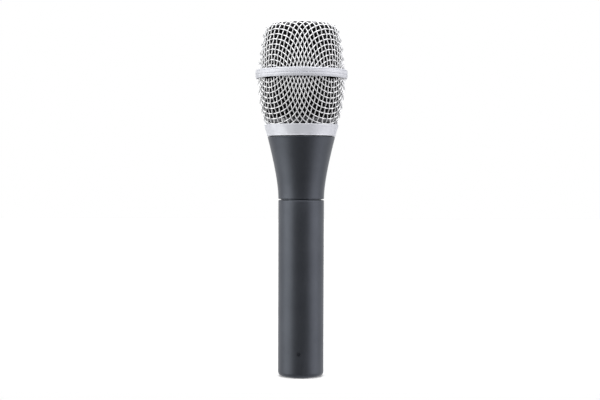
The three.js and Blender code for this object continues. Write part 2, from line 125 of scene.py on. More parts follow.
def mesh_from(name, points, faces):
    mesh = bpy.data.meshes.new(name)
    mesh.from_pydata([[value * MM for value in point] for point in points], [], faces)
    shape = bmesh.new()
    shape.from_mesh(mesh)
    bmesh.ops.remove_doubles(shape, verts=shape.verts, dist=1e-4 * MM)
    bmesh.ops.recalc_face_normals(shape, faces=shape.faces)
    shape.to_mesh(mesh)
    shape.free()
    return mesh


def turned(name, outline, facets=FINE, thread=None):
    """A body turned from a closed outline. thread(radius, height, angle) may move a point."""
    points, faces = [], []
    for radius, height in outline:
        for facet in range(facets):
            angle = 2 * math.pi * facet / facets
            r = thread(radius, height, angle) if thread else radius
            points.append((r * math.cos(angle), r * math.sin(angle), height))
    rings = len(outline)
    for ring in range(rings):
        if outline[ring][0] == 0 and outline[(ring + 1) % rings][0] == 0:
            continue
        for facet in range(facets):
            a, b = ring * facets + facet, ring * facets + (facet + 1) % facets
            c, d = (b + facets) % len(points), (a + facets) % len(points)
            faces.append((a, b, c, d))
    return add_object(name, mesh_from(name, points, faces))


def shade(piece, angle=35):
    piece.data.shade_smooth()
    piece.data.set_sharp_from_angle(angle=math.radians(angle))


def carve(piece, cutters):
    """Cuts the cutter objects out of a piece, and removes them."""
    for cutter in cutters:
        modifier = piece.modifiers.new("cut", "BOOLEAN")
        modifier.object = cutter
        modifier.solver = "EXACT"
    graph = bpy.context.evaluated_depsgraph_get()
    cut = bpy.data.meshes.new_from_object(piece.evaluated_get(graph))
    cut.name = piece.name
    piece.modifiers.clear()
    piece.data = cut
    for cutter in cutters:
        bpy.data.objects.remove(cutter)


def rod(name, radius, start, end, facets=24, edge=0.0):
    """A round bar between two points, with its edges rounded at the far end."""
    line = Vector(end) - Vector(start)
    length = line.length
    outline = [(0, 0), (radius, 0), (radius, length), (0, length)]
    if edge:
        outline = [(0, 0), (radius, 0), *arc((radius - edge, length - edge), edge, 0, 90, 4),
                   (0, length)]
    piece = turned(name, outline, facets)
    place = Matrix.Translation(Vector(start) * MM) @ line.to_track_quat("Z", "Y").to_matrix().to_4x4()
    piece.data.transform(place)
    return piece


def add_tube(points, faces, path, sides):
    """Adds one closed tube to lists of points and faces. Its path is (place, normal, radius)."""
    first = len(points)
    for at, (place, normal, radius) in enumerate(path):
        ahead = path[min(at + 1, len(path) - 1)][0]
        behind = path[max(at - 1, 0)][0]
        tangent = (ahead - behind).normalized()
        side = tangent.cross(normal).normalized()
        out = side.cross(tangent)
        for corner in range(sides):
            angle = 2 * math.pi * corner / sides
            points.append(place + radius * (out * math.cos(angle) + side * math.sin(angle)))
    for ring in range(len(path) - 1):
        for corner in range(sides):
            a, b = first + ring * sides + corner, first + ring * sides + (corner + 1) % sides
            faces.append((a, b, b + sides, a + sides))
    faces.append(tuple(range(first, first + sides)))
    faces.append(tuple(range(len(points) - 1, len(points) - 1 - sides, -1)))


def roughen(piece, inward, outward, seed):
    """Moves every point of a soft piece by a small random distance along its normal, in mm."""
    source = random.Random(seed)
    for vertex in piece.data.vertices:
        vertex.co += vertex.normal * source.uniform(-inward, outward) * MM


def polar(radius, degrees, height):
    """A point on a circle round the Z axis."""
    angle = math.radians(degrees)
    return (radius * math.cos(angle), radius * math.sin(angle), height)


def fit_out(piece, body, material, replaced, angle=35):
    """Shades a piece, gives it its material and body, and hides the CAD nodes that it stands for. A
    piece that bends between two bodies has None for its body, and is left without one."""
    shade(piece, angle)
    piece.data.materials.clear()
    piece.data.materials.append(material)
    if body:
        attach(piece, body)
    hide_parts(*replaced)


# ---- node materials ----

WHOLE_UNIT = 1 / MM  # a noise size that takes round_place's units as they are
WAVES_PER_UNIT = 3.18  # in Blender's wave texture at a scale of 1


def add_node(tree, kind, values=(), **settings):
    """Adds a shader node. Its values are numbers, or the sockets that feed them."""
    made = tree.nodes.new("ShaderNode" + kind)
    for name, value in settings.items():
        setattr(made, name, value)
    for socket, value in dict(values).items():
        if isinstance(value, bpy.types.NodeSocket):
            tree.links.new(value, made.inputs[socket])
        else:
            made.inputs[socket].default_value = value
    return made


class Finish:
    """A Principled material and short ways to feed its sockets with procedural patterns."""

    def __init__(self, name, **sockets):
        self.material = bpy.data.materials.new(name)
        self.material.use_nodes = True
        self.tree = self.material.node_tree
        self.shader = self.tree.nodes["Principled BSDF"]
        for socket, value in sockets.items():
            self.shader.inputs[socket.replace("_", " ")].default_value = value
        self.place = add_node(self.tree, "TexCoord").outputs["Object"]
        self.normal = None

    def node(self, kind, values=(), **settings):
        return add_node(self.tree, kind, values, **settings)

    def noise(self, size, detail=3.0, roughness=0.5, place=None):
        """Noise whose lumps are about size millimetres across."""
        values = {"Vector": place or self.place, "Scale": 1 / (size * MM), "Detail": detail,
                  "Roughness": roughness}
        return self.node("TexNoise", values).outputs["Fac"]

    def cells(self, size):
        """Distance from the middle of the nearest of many cells, each about size mm across."""
        values = {"Vector": self.place, "Scale": 1 / (size * MM)}
        return self.node("TexVoronoi", values).outputs["Distance"]

    def round_place(self, around, along):
        """Coordinates for rings round the Z axis: around units for each radian of turn, and one
        unit for every along mm of height."""
        parts = self.node("SeparateXYZ", {0: self.place})
        angle = self.node("Math", {0: parts.outputs["Y"], 1: parts.outputs["X"]},
                          operation="ARCTAN2")
        turns = self.node("Math", {0: angle.outputs[0], 1: around}, operation="MULTIPLY")
        rise = self.node("Math", {0: parts.outputs["Z"], 1: 1 / (along * MM)},
                         operation="MULTIPLY")
        return self.node("CombineXYZ", {0: turns.outputs[0], 2: rise.outputs[0]}).outputs[0]

    def spread(self, value, low, high, start=0.3, end=0.7):
        """Maps a 0 to 1 pattern onto a range of numbers."""
        values = {"Value": value, "From Min": start, "From Max": end, "To Min": low, "To Max": high}
        return self.node("MapRange", values).outputs["Result"]

    def blend_colours(self, value, dark, light, start=0.35, end=0.65):
        ramp = self.node("ValToRGB", {"Fac": value})
        ramp.color_ramp.elements[0].position = start
        ramp.color_ramp.elements[1].position = end
        ramp.color_ramp.elements[0].color = (*dark, 1)
        ramp.color_ramp.elements[1].color = (*light, 1)
        return ramp.outputs["Color"]

    def feed(self, socket, value):
        self.tree.links.new(value, self.shader.inputs[socket])

    def bump(self, value, depth, strength=1.0):
        """Raises the surface by up to depth millimetres, on top of any earlier bump."""
        values = {"Height": value, "Distance": depth * MM, "Strength": strength}
        if self.normal:
            values["Normal"] = self.normal
        self.normal = self.node("Bump", values).outputs["Normal"]
        self.feed("Normal", self.normal)


def satin_paint():
    """Dark blue-grey metallic enamel: fine flake, a faint orange peel and satin gloss."""
    paint = Finish("satin_paint", Metallic=0.9)
    drift = paint.noise(14, 4)
    flake = paint.cells(0.16)
    grain = paint.noise(0.25, 4, 0.6)
    peel = paint.noise(1.6, 2)
    paint.feed("Base Color", paint.blend_colours(drift, (0.08, 0.087, 0.103), (0.092, 0.1, 0.118)))
    paint.feed("Roughness", paint.spread(flake, 0.38, 0.48, 0.1, 0.7))
    paint.bump(peel, 0.01, 0.5)
    paint.bump(grain, 0.015, 0.5)
    return paint.material


def satin_silver():
    """Satin silver plating over a fine blasted surface, faintly brushed round the axis."""
    silver = Finish("satin_silver", Metallic=0.36, Anisotropic=0.2, Specular_Tint=(0, 0, 0, 1))
    brushed = silver.noise(WHOLE_UNIT, 3, 0.6, silver.round_place(6, 0.14))
    clouds = silver.noise(6, 3)
    blasted = silver.noise(0.18, 3, 0.6)
    silver.feed("Base Color", silver.blend_colours(clouds, (0.6, 0.61, 0.655), (0.67, 0.68, 0.725)))
    silver.feed("Roughness", silver.spread(brushed, 0.42, 0.52))
    silver.bump(brushed, 0.006, 0.5)
    silver.bump(blasted, 0.008, 0.5)
    return silver.material


def grille_wire():
    """Plated steel wire: satin silver with duller patches and faint drawing marks."""
    wire = Finish("grille_wire", Metallic=0.74)
    patches = wire.noise(1.3, 4)
    marks = wire.noise(0.12, 2)
    wire.feed("Base Color", wire.blend_colours(patches, (0.84, 0.845, 0.86), (0.94, 0.945, 0.96)))
    wire.feed("Roughness", wire.spread(patches, 0.25, 0.38))
    wire.bump(marks, 0.008, 0.5)
    return wire.material


def knurled_band():
    """Dull crimped steel with a fine cross-hatched grip, and painted shade that darkens the grip's
    cross-hatched lines.
    """
    band = Finish("knurled_band", Metallic=1.0)
    place = band.round_place(24, 1.1)
    grid = band.node("TexVoronoi", {"Vector": place, "Scale": 1.0}, distance="MANHATTAN")
    # painted shade: the grip's cross-hatched lines are coloured dark against the light steel
    band.feed("Base Color", band.blend_colours(grid.outputs["Distance"], (0.75, 0.75, 0.77),
                                               (0.12, 0.12, 0.13), 0.25, 0.75))
    band.feed("Roughness", band.spread(band.noise(0.5), 0.4, 0.65))
    band.bump(grid.outputs["Distance"], 0.12, 0.8)
    return band.material


def black_foam():
    """Open-cell foam: pores sunk below the struts between them, with painted shade that colours the
    pores darker than the struts.
    """
    foam = Finish("black_foam", Specular_IOR_Level=0.1)
    pores = foam.cells(0.7)
    fine = foam.noise(0.35, 5, 0.7)
    # painted shade: the sunken pores are coloured darker than the struts around them
    foam.feed("Base Color", foam.blend_colours(pores, (0.001, 0.001, 0.001), (0.007, 0.007, 0.008),
                                               0.1, 0.8))
    foam.feed("Roughness", foam.spread(fine, 0.85, 1.0))
    foam.bump(pores, 0.35, 1.0)
    foam.bump(fine, 0.08, 0.6)
    return foam.material


def moulded(name, dark, light, rough, grain=0.3, depth=0.02):
    """Moulded rubber or plastic with a fine spark-eroded texture."""
    made = Finish(name)
    cloud = made.noise(3, 4)
    texture = made.noise(grain, 4, 0.6)
    made.feed("Base Color", made.blend_colours(cloud, dark, light))
    made.feed("Roughness", made.spread(texture, rough - 0.06, rough + 0.08))
    made.bump(texture, depth, 0.7)
    return made.material


def plated(name, dark, light, rough):
    """Plated or ground metal with small marks and uneven gloss."""
    metal = Finish(name, Metallic=1.0)
    cloud = metal.noise(2.2, 4)
    scratch = metal.noise(0.25, 3, 0.6, metal.round_place(9, 0.3))
    metal.feed("Base Color", metal.blend_colours(cloud, dark, light))
    metal.feed("Roughness", metal.spread(cloud, rough - 0.06, rough + 0.1))
    metal.bump(scratch, 0.006, 0.4)
    return metal.material


def layered(name, dark, light, rough, pitch, direction):
    """Thin layers side by side, as in laminations or turns of wire, with painted shade that darkens
    the grooves between them.
    """
    stack = Finish(name, Metallic=1.0)
    scale = 1 / (pitch * MM) / WAVES_PER_UNIT
    values = {"Vector": stack.place, "Scale": scale, "Distortion": 0.15}
    bands = stack.node("TexWave", values, bands_direction=direction).outputs["Fac"]
    # painted shade: the grooves between the layers are coloured dark, the crests light
    stack.feed("Base Color", stack.blend_colours(bands, dark, light, 0.1, 0.6))
    stack.feed("Roughness", stack.spread(stack.noise(1.5), rough - 0.05, rough + 0.1))
    stack.bump(bands, 0.08, 0.8)
    return stack.material


def pressed_felt():
    felt = Finish("pressed_felt", Roughness=1.0, Specular_IOR_Level=0.1)
    fibres = felt.noise(0.25, 6, 0.75)
    felt.feed("Base Color", felt.blend_colours(fibres, (0.3, 0.28, 0.24), (0.55, 0.52, 0.46)))
    felt.bump(fibres, 0.2, 0.9)
    return felt.material


def speaker_film():
    film = Finish("speaker_film", Transmission_Weight=0.35, Coat_Weight=0.4)
    ripple = film.noise(2, 2)
    film.feed("Base Color", film.blend_colours(ripple, (0.62, 0.53, 0.34), (0.78, 0.7, 0.5)))
    film.feed("Roughness", film.spread(ripple, 0.15, 0.3))
    film.bump(ripple, 0.02, 0.5)
    return film.material


PAINT = satin_paint()
SILVER = satin_silver()
WIRE = grille_wire()
BAND = knurled_band()
FOAM = black_foam()
RUBBER = moulded("moulded_rubber", (0.012, 0.012, 0.013), (0.022, 0.022, 0.024), 0.62, 0.4)
PLASTIC = moulded("moulded_plastic", (0.016, 0.016, 0.018), (0.026, 0.027, 0.03), 0.45)
BOARD = moulded("glass_laminate", (0.03, 0.1, 0.05), (0.05, 0.16, 0.08), 0.4, 0.5, 0.03)
RED_LEAD = moulded("red_insulation", (0.38, 0.02, 0.02), (0.5, 0.035, 0.03), 0.35, 0.6, 0.01)
BLACK_LEAD = moulded("black_insulation", (0.012, 0.012, 0.013), (0.02, 0.02, 0.022), 0.35, 0.6, 0.01)
STEEL = plated("nickel_steel", (0.55, 0.55, 0.555), (0.64, 0.64, 0.65), 0.3)
BLACKENED = plated("blackened_steel", (0.064, 0.07, 0.084), (0.076, 0.083, 0.1), 0.44)
GOLD = plated("gold_plate", (0.72, 0.5, 0.2), (0.9, 0.66, 0.3), 0.2)
IRON = plated("zinc_iron", (0.36, 0.37, 0.39), (0.52, 0.53, 0.54), 0.42)
MAGNET = plated("magnet_alloy", (0.1, 0.1, 0.11), (0.2, 0.2, 0.21), 0.38)
LAMINATIONS = layered("iron_laminations", (0.08, 0.08, 0.085), (0.4, 0.4, 0.41), 0.4, 0.5, "Y")
COPPER = layered("copper_winding", (0.25, 0.07, 0.02), (0.75, 0.3, 0.14), 0.3, 0.22, "Z")
FELT = pressed_felt()
FILM = speaker_film()


# ---- woven grille ----

PITCH = 2.7  # between neighbouring wires
WIRE_R = 0.285
WEAVE_LIFT = 0.22  # how far a wire rises and falls: the mesh is pressed, so less than its radius
SAMPLES = 6  # along each wire, for every crossing
SIDES = 8  # round each wire
WEAVE_REACH = 40.0  # half the width of the flat weave
DOME_INSET = 0.5 * WIRE_R  # of the wires' middle surface, inside the CAD solid's skin
CUP_INSET = 0.8 * WIRE_R
CUP_FLOOR_R = 18.0  # of the flat bottom that the lower cup was drawn with
DIAGONAL = FRONT - 45  # the turn that brings the weave's diagonal to the front
DOME_TURN, CUP_TURN = 1.0, -2.5  # how far each cup was pressed out of line, in degrees
FOAM_THICK = 3.0
FOAM_SEED = 7


def ease(value, start, end):
    """A smooth step from 0 at start to 1 at end."""
    share = min(1.0, max(0.0, (value - start) / (end - start)))
    return share * share * (3 - 2 * share)


def ease_area(value, start, end):
    """The integral of ease from start up to value."""
    width = end - start
    share = min(1.0, max(0.0, (value - start) / width))
    return width * (share ** 3 - share ** 4 / 2) + max(0.0, value - end)


def drape(flat_x, flat_y):
    """Where a point of the flat square weave goes when it is drawn into a cup: the distance
    along the surface from the cup's centre, and the angle round it in radians. Wires keep
    their spacing along their own two axes, and squares close up into diamonds between them."""
    stretch, stretch_from, stretch_to = 0.31, 15, 30  # down the cup's side, along the diagonals
    swing, swing_from, swing_to = 0.0625, 14, 27  # radians, towards the nearest diagonal
    reach, theta = math.hypot(flat_x, flat_y), math.atan2(flat_y, flat_x)
    diagonal = math.sin(2 * theta) ** 2
    along = reach + stretch * diagonal * ease_area(reach, stretch_from, stretch_to)
    return along, theta + swing * ease(reach, swing_from, swing_to) * math.sin(4 * theta)


def dome_meridian(inset):
    """The dome's outline by distance from the top: (radius, height, normal angle)."""
    widest, widest_z = 22.35, 160.0
    side_r, shoulder_r, shoulder, crown = 77.8, 5.35, math.radians(15.5), math.radians(80)
    side_x, side_z = widest - side_r, widest_z
    reach = side_r - shoulder_r
    shoulder_x = side_x + reach * math.cos(shoulder)
    shoulder_z = side_z + reach * math.sin(shoulder)
    crown_r = shoulder_r + shoulder_x / math.cos(crown)
    crown_z = shoulder_z - (crown_r - shoulder_r) * math.sin(crown)
    arcs = [(0.0, crown_z, crown_r - inset, math.pi / 2, crown),
            (shoulder_x, shoulder_z, shoulder_r - inset, crown, shoulder),
            (side_x, side_z, side_r - inset, shoulder, -1.0)]

    def at(distance):
        for x, z, radius, start, end in arcs:
            length = radius * (start - end)
            if distance <= length or end < 0:
                angle = start - distance / radius
                return x + radius * math.cos(angle), z + radius * math.sin(angle), angle
            distance -= length
    return at


def cup_meridian(inset):
    """The lower cup's side, by distance from the middle of the bottom it was drawn from."""
    side_r, widest, widest_z, floor_z = 72.3, 22.9, 156.0, 131.0
    radius = side_r - inset
    first = math.asin((floor_z - widest_z) / radius)

    def at(distance):
        angle = first + (distance - CUP_FLOOR_R) / radius
        return widest - side_r + radius * math.cos(angle), widest_z + radius * math.sin(angle), angle
    return at


def weave(name, meridian, bottom, top, turn):
    """Every wire of one cup as a closed tube, over and under the wires that it crosses."""
    points, faces = [], []

    def sample(across, along, swap, phase):
        flat = (along, across) if swap else (across, along)
        distance, theta = drape(*flat)
        radius, height, normal_angle = meridian(distance)
        angle = theta + math.radians(turn)
        normal = Vector((math.cos(normal_angle) * math.cos(angle),
                         math.cos(normal_angle) * math.sin(angle), math.sin(normal_angle)))
        lift = WEAVE_LIFT * phase * math.cos(math.pi * along / PITCH)
        place = Vector((radius * math.cos(angle), radius * math.sin(angle), height))
        inside = bottom <= height <= top
        return place + normal * lift, normal, inside

    def finish_wire(path):
        if len(path) >= 3:
            add_tube(points, faces, path, SIDES)

    wires = int(WEAVE_REACH / PITCH) + 1
    steps = int(WEAVE_REACH / PITCH * SAMPLES) + SAMPLES
    for swap in (False, True):
        for wire in range(-wires, wires + 1):
            phase = (-1) ** wire * (-1 if swap else 1)
            path = []
            for step in range(-steps, steps + 1):
                place, normal, inside = sample(wire * PITCH, step * PITCH / SAMPLES, swap, phase)
                if inside:
                    path.append((place, normal, WIRE_R))
                else:
                    finish_wire(path)
                    path = []
            finish_wire(path)
    return add_object(name, mesh_from(name, points, faces))


def foam_shell(name, replaced, meridian, start, end):
    """A foam liner that follows a cup's inside from one distance along it to another, with a
    lumpy cut surface. One that starts at 0 is closed over the top."""
    steps = 40
    along = [start + (end - start) * step / steps for step in range(steps + 1)]
    outside = [meridian(distance)[:2] for distance in along]
    inside = [(r - FOAM_THICK * math.cos(angle), z - FOAM_THICK * math.sin(angle))
              for r, z, angle in map(meridian, along)]
    if start == 0:
        outside[0], inside[0] = (0.0, outside[0][1]), (0.0, inside[0][1])
    liner = turned(name, outside + inside[::-1])
    roughen(liner, 0.12, 0.03, FOAM_SEED)
    fit_out(liner, "grille", FOAM, [replaced], 80)


def make_grille():
    upper = weave("woven_dome", dome_meridian(DOME_INSET), DOME_BOTTOM, DOME_TOP,
                  DIAGONAL + DOME_TURN)
    fit_out(upper, "grille", WIRE, ["grille_upper_mesh"], 60)
    lower = weave("woven_cup", cup_meridian(CUP_INSET), CONE_TOP - 0.3, CUP_TOP,
                  DIAGONAL + CUP_TURN)
    fit_out(lower, "grille", WIRE, ["grille_lower_mesh"], 60)
    two_wires = 4 * WIRE_R
    foam_shell("foam_dome", "foam_upper", dome_meridian(two_wires + 0.3), 0, 45.5)
    foam_shell("foam_sleeve", "foam_lower", cup_meridian(two_wires + 0.5), 22.4, 43.8)


# ---- belt, collar and the ring that clamps the mesh ----

THREAD_PITCH = 1.0
THREAD_DEPTH = 0.25


def thread(radius_at, bottom, top, depth):
    """Moves the points of a plain cylinder onto a screw thread. Its depth is below 0 in a bore."""
    def move(radius, height, angle):
        if abs(radius - radius_at) > 1e-6 or not bottom < height < top:
            return radius
        turns = height / THREAD_PITCH - angle / (2 * math.pi)
        share = abs(2 * (turns % 1.0) - 1)
        fade = min(1.0, (height - bottom) / THREAD_PITCH, (top - height) / THREAD_PITCH)
        return radius - depth * share * fade
    return move


def column(radius, bottom, top, per_pitch=8):
    """Close rows of points up a cylinder, for a thread to move."""
    rows = int((top - bottom) / THREAD_PITCH * per_pitch)
    return [(radius, bottom + (top - bottom) * row / rows) for row in range(rows + 1)]


def make_belt():
    """The band, with two fine grooves round it and a web inside that parts the two cups."""
    bottom, top, middle = BELT_BOTTOM, BELT_TOP, 157.8
    bottom_lip_r, top_lip_r, inside_r, web_r = 23.3, 22.75, 23.4, 21.3
    lip, half_web = 0.6, 0.6
    upper, half_groove, groove_r = top - 0.75, 0.15, BELT_R - 0.28
    outline = rounded([
        (bottom_lip_r, bottom, 0.15), (BELT_R - 0.35, bottom, 0.2), (BELT_R, bottom + 1.2, 0.3),
        (BELT_R, middle - half_groove, 0.08), (groove_r, middle, 0.06),
        (BELT_R, middle + half_groove, 0.08), (BELT_R, upper - half_groove, 0.08),
        (groove_r, upper, 0.06), (BELT_R - 0.05, upper + half_groove, 0.1),
        (BELT_R - 0.25, top, 0.2), (top_lip_r, top, 0.2), (top_lip_r, top - lip),
        (inside_r, top - lip), (inside_r, middle + half_web), (web_r, middle + half_web, 0.1),
        (web_r, middle - half_web, 0.1), (bottom_lip_r, middle - half_web),
    ])
    fit_out(turned("belt_band", outline), "grille", SILVER, ["belt_ring"], 50)


def make_collar():
    """The cone, threaded inside, with a flange over the neck and a well for the cup's edge."""
    bore_r, lip_r, well_r, flange_r, sleeve_r = 15.6, 18.1, 18.1, 14.85, 16.0
    seat, well_floor = 132.9, 130.6
    cone_r, lip_top = lip_r - 0.1, COLLAR_BOTTOM + 0.4
    outline = rounded([
        *column(bore_r, COLLAR_BOTTOM, seat),
        (flange_r, seat), (flange_r, FLANGE_TOP), (sleeve_r, FLANGE_TOP), (sleeve_r, well_floor),
        (well_r, well_floor), (well_r, CONE_TOP, 0.2), (COLLAR_R, CONE_TOP, 0.35),
        (cone_r, lip_top + 0.2), (cone_r, lip_top + 0.1, 0.05), (lip_r, lip_top, 0.06),
        (lip_r, COLLAR_BOTTOM, 0.15),
    ])
    groove = thread(bore_r, COLLAR_BOTTOM, seat, -THREAD_DEPTH)
    collar = turned("collar_cone", outline, thread=groove)
    fit_out(collar, "grille", SILVER, ["grille_collar"], 40)


def make_clamp_and_seal():
    """The band inside the cup's edge, with a groove round it, and the ring of rubber below."""
    _, bottom, top = span("mesh_clamp_ring")
    inside = cup_meridian(4 * WIRE_R + 0.2)
    thick, groove_depth, groove_bottom, groove_top = 0.6, 0.4, CONE_TOP, CONE_TOP + 1.1
    steps = 12
    wall = [inside(CUP_FLOOR_R + (top - bottom) * step / steps)[:2] for step in range(steps + 1)]
    grooved = [(r - groove_depth if groove_bottom < z < groove_top else r, z) for r, z in wall]
    band = turned("clamp_band", grooved + [(r - thick, z) for r, z in reversed(wall)])
    fit_out(band, "clamp_band", BAND, ["mesh_clamp_ring"])
    outer, low, high = span("thread_seal")
    half = (high - low) / 2
    last_angle = 360 * 15 / 16
    ring = turned("seal_ring", arc((outer - half, low + half), half, 0, last_angle, 15), MEDIUM)
    fit_out(ring, "seal", RUBBER, ["thread_seal"])


# ---- neck and handle ----

def bezier(start, control, end, steps):
    """Points on a curve that leaves start towards control, and comes from there to end."""
    points = []
    for step in range(steps + 1):
        t = step / steps
        points.append(tuple(a * (1 - t) ** 2 + 2 * b * t * (1 - t) + c * t * t
                            for a, b, c in zip(start, control, end)))
    return points


def make_neck():
    """The spigot, the flared outside, the collar's thread, and a bore that widens for the capsule."""
    bottom, shoulder, top_r = HANDLE_TOP + 0.5, COLLAR_BOTTOM - 0.4, NECK_TOP_R - 0.05
    bore_r, spigot_r, step_r, thread_r, seat_r = 9.0, 10.1, 10.6, 15.2, 16.5
    joint, bend_z, undercut = HANDLE_TOP + 0.06, 103, shoulder - 0.6
    cradle_r, cradle_floor = 14.0, 119
    chamber_r, chamber_top, chamber_bottom = 11.6, 118, 108.2
    throat_r, throat_z, bore_top = 9.8, 102.2, 100
    outline = [
        (bore_r, SPIGOT_BOTTOM), (spigot_r, SPIGOT_BOTTOM), (spigot_r, joint),
        (step_r, joint), (step_r, bottom),
        *arc((HANDLE_R - 0.48, bottom + 0.5), 0.5, -90, 0, 5),
        *bezier((HANDLE_R + 0.02, bottom + 0.55), (HANDLE_R, bend_z), (top_r, shoulder - 0.35), 40),
        *arc((top_r - 0.25, shoulder - 0.3), 0.3, 10, 90, 4),
        (seat_r, shoulder), (seat_r - 0.1, undercut), (thread_r, undercut),
        *column(thread_r, shoulder, THREAD_TOP),
        (thread_r - 0.3, THREAD_TOP), (cradle_r, THREAD_TOP), (cradle_r, cradle_floor),
        (chamber_r, chamber_top), (chamber_r, chamber_bottom), (throat_r, throat_z),
        (bore_r, bore_top),
    ]
    ridges = thread(thread_r, shoulder, THREAD_TOP, THREAD_DEPTH)
    neck = turned("neck_shell", outline, thread=ridges)
    fit_out(neck, "handle", PAINT, ["neck_housing"], 30)
    neck.data.materials.append(IRON)
    for face in neck.data.polygons:
        height, reach = face.center.z / MM, face.center.xy.length / MM
        threaded = height > shoulder - 0.3 and reach < thread_r + 0.4
        inserted = height < HANDLE_TOP + 0.03
        face.material_index = 1 if threaded or inserted else 0


SCREW_AT = FRONT - 6  # degrees round the handle
SCREW_Z = 12.6


def make_handle():
    """The barrel, and the slotted screw in its side that holds the connector."""
    bore_r, base_edge, top_edge = 10.5, 2.6, 0.5
    rim_angle = -math.degrees(math.acos((bore_r - HANDLE_R + base_edge) / base_edge))
    outline = [*arc((HANDLE_R - base_edge, base_edge), base_edge, rim_angle, 0, 10),
               *[(HANDLE_R, height) for height in range(10, 90, 10)],
               *arc((HANDLE_R - top_edge, HANDLE_TOP - top_edge), top_edge, 0, 90, 5),
               (bore_r, HANDLE_TOP)]
    barrel = turned("handle_barrel", outline)
    hole_r, screw_r, screw_end, head = 1.07, 1.04, 8.9, HANDLE_R - 0.1
    hole = rod("hole", hole_r, polar(9, SCREW_AT, SCREW_Z), polar(13, SCREW_AT, SCREW_Z), 32)
    carve(barrel, [hole])
    fit_out(barrel, "handle", PAINT, ["handle_tube"], 40)

    screw = rod("retaining_screw", screw_r, polar(screw_end, SCREW_AT, SCREW_Z),
                polar(head, SCREW_AT, SCREW_Z), 32, 0.1)
    slot = box_piece("slot", (3.0, 0.8, 0.28), polar(head, SCREW_AT, SCREW_Z), SCREW_AT + 90)
    carve(screw, [slot])
    fit_out(screw, "handle", BLACKENED, ["set_screw"], 30)


def box_piece(name, sizes, centre, turn):
    """A box turned round its own upright axis, in degrees."""
    mesh = bpy.data.meshes.new(name)
    shape = bmesh.new()
    bmesh.ops.create_cube(shape, size=1)
    shape.to_mesh(mesh)
    shape.free()
    mesh.transform(Matrix.Translation(Vector(centre) * MM)
                   @ Matrix.Rotation(math.radians(turn), 4, "Z")
                   @ Matrix.Diagonal(Vector((*sizes, 1)) * MM))
    return add_object(name, mesh)


# ---- connector ----

PIN_ANGLES = (145, 35, 270)
PIN_CIRCLE = 5.25
PIN_R = 1.2
PIN_TIP = 0.75  # the rounding of a pin's free end


def make_connector():
    """The metal cup with its latch hole, the moulded insert and the three pins."""
    outer, bottom, top = span("connector_shell")
    inner, latch_z = 8.2, 7.8
    outline = rounded([(inner, bottom, 0.4), (outer, bottom, 0.15), (outer, top), (inner, top)])
    cup = turned("socket_cup", outline)
    carve(cup, [box_piece("latch", (6.0, 1.8, 2.8), (0, inner, latch_z), 0)])
    fit_out(cup, "handle", STEEL, ["connector_shell"])

    radius, face, back = span("connector_insert")
    dish_r, dish_floor = 2.4, face + 0.3
    outline = rounded([(0, dish_floor), (dish_r - 0.2, dish_floor), (dish_r, face, 0.1),
                       (radius, face, 0.4), (radius, back), (0, back)])
    insert = turned("socket_insert", outline, MEDIUM)
    fit_out(insert, "handle", PLASTIC, ["connector_insert"])

    for number, angle in enumerate(PIN_ANGLES, 1):
        low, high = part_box(f"pin_{number}")
        start = polar(PIN_CIRCLE, angle, high.z / MM)
        end = polar(PIN_CIRCLE, angle, low.z / MM)
        pin = rod(f"contact_{number}", PIN_R, start, end, 32, PIN_TIP)
        fit_out(pin, "handle", GOLD, [f"pin_{number}"])


# ---- cartridge ----

HOLE_R = 1.1  # of the sound holes in the cap and the ports in the case


def make_cap():
    """The cap over the diaphragm, with a hole in the middle and two circles of them round it."""
    radius, bottom, top = span("resonator_cap")
    wall, plate = 0.5, 0.8
    inner, underside = radius - wall, top - plate
    outline = rounded([(0, underside), (inner, underside), (inner, bottom), (radius, bottom, 0.15),
                       (radius, top, 0.7), (0, top)])
    cap = turned("capsule_cap", outline)
    holes = []
    for count, circle in ((1, 0), (6, 4.4), (12, 8.8)):
        for hole in range(count):
            angle = 360 * hole / count
            low, high = polar(circle, angle, top - 3), polar(circle, angle, top + 1)
            holes.append(rod("hole", HOLE_R, low, high))
    carve(cap, holes)
    fit_out(cap, "cartridge", STEEL, ["resonator_cap"])


def make_case():
    """The capsule's housing: a narrow stem that flares into a cup, with eight sloping ports."""
    radius, bottom, top = span("cartridge_case")
    stem_r, bore_r, wall = 10.4, 9.4, 0.5
    stem_top, cup_bottom = 143.5, 147.5
    outline = rounded([(bore_r, bottom), (stem_r, bottom, 0.2), (stem_r, stem_top, 1.0),
                       (radius, cup_bottom, 1.5), (radius, top), (radius - wall, top),
                       (radius - wall, cup_bottom + 0.25), (bore_r, stem_top)])
    case = turned("capsule_case", outline)
    count, near_r, near_z, far_r, far_z = 8, 9.7, 146.5, 15.6, 143.5
    ports = []
    for port in range(count):
        angle = 360 / count * port
        ports.append(rod("port", HOLE_R, polar(near_r, angle, near_z), polar(far_r, angle, far_z)))
    carve(case, ports)
    fit_out(case, "cartridge", PLASTIC, ["cartridge_case"], 40)


def make_chamber():
    """The pot of still air below the capsule."""
    radius, bottom, top = span("rear_chamber")
    wall, floor = 0.8, 1.0
    outline = rounded([(0, bottom), (radius, bottom, 0.8), (radius, top, 0.2), (radius - wall, top),
                       (radius - wall, bottom + floor, 0.4), (0, bottom + floor)])
    chamber = turned("air_chamber", outline, MEDIUM)
    fit_out(chamber, "cartridge", STEEL, ["rear_chamber"])


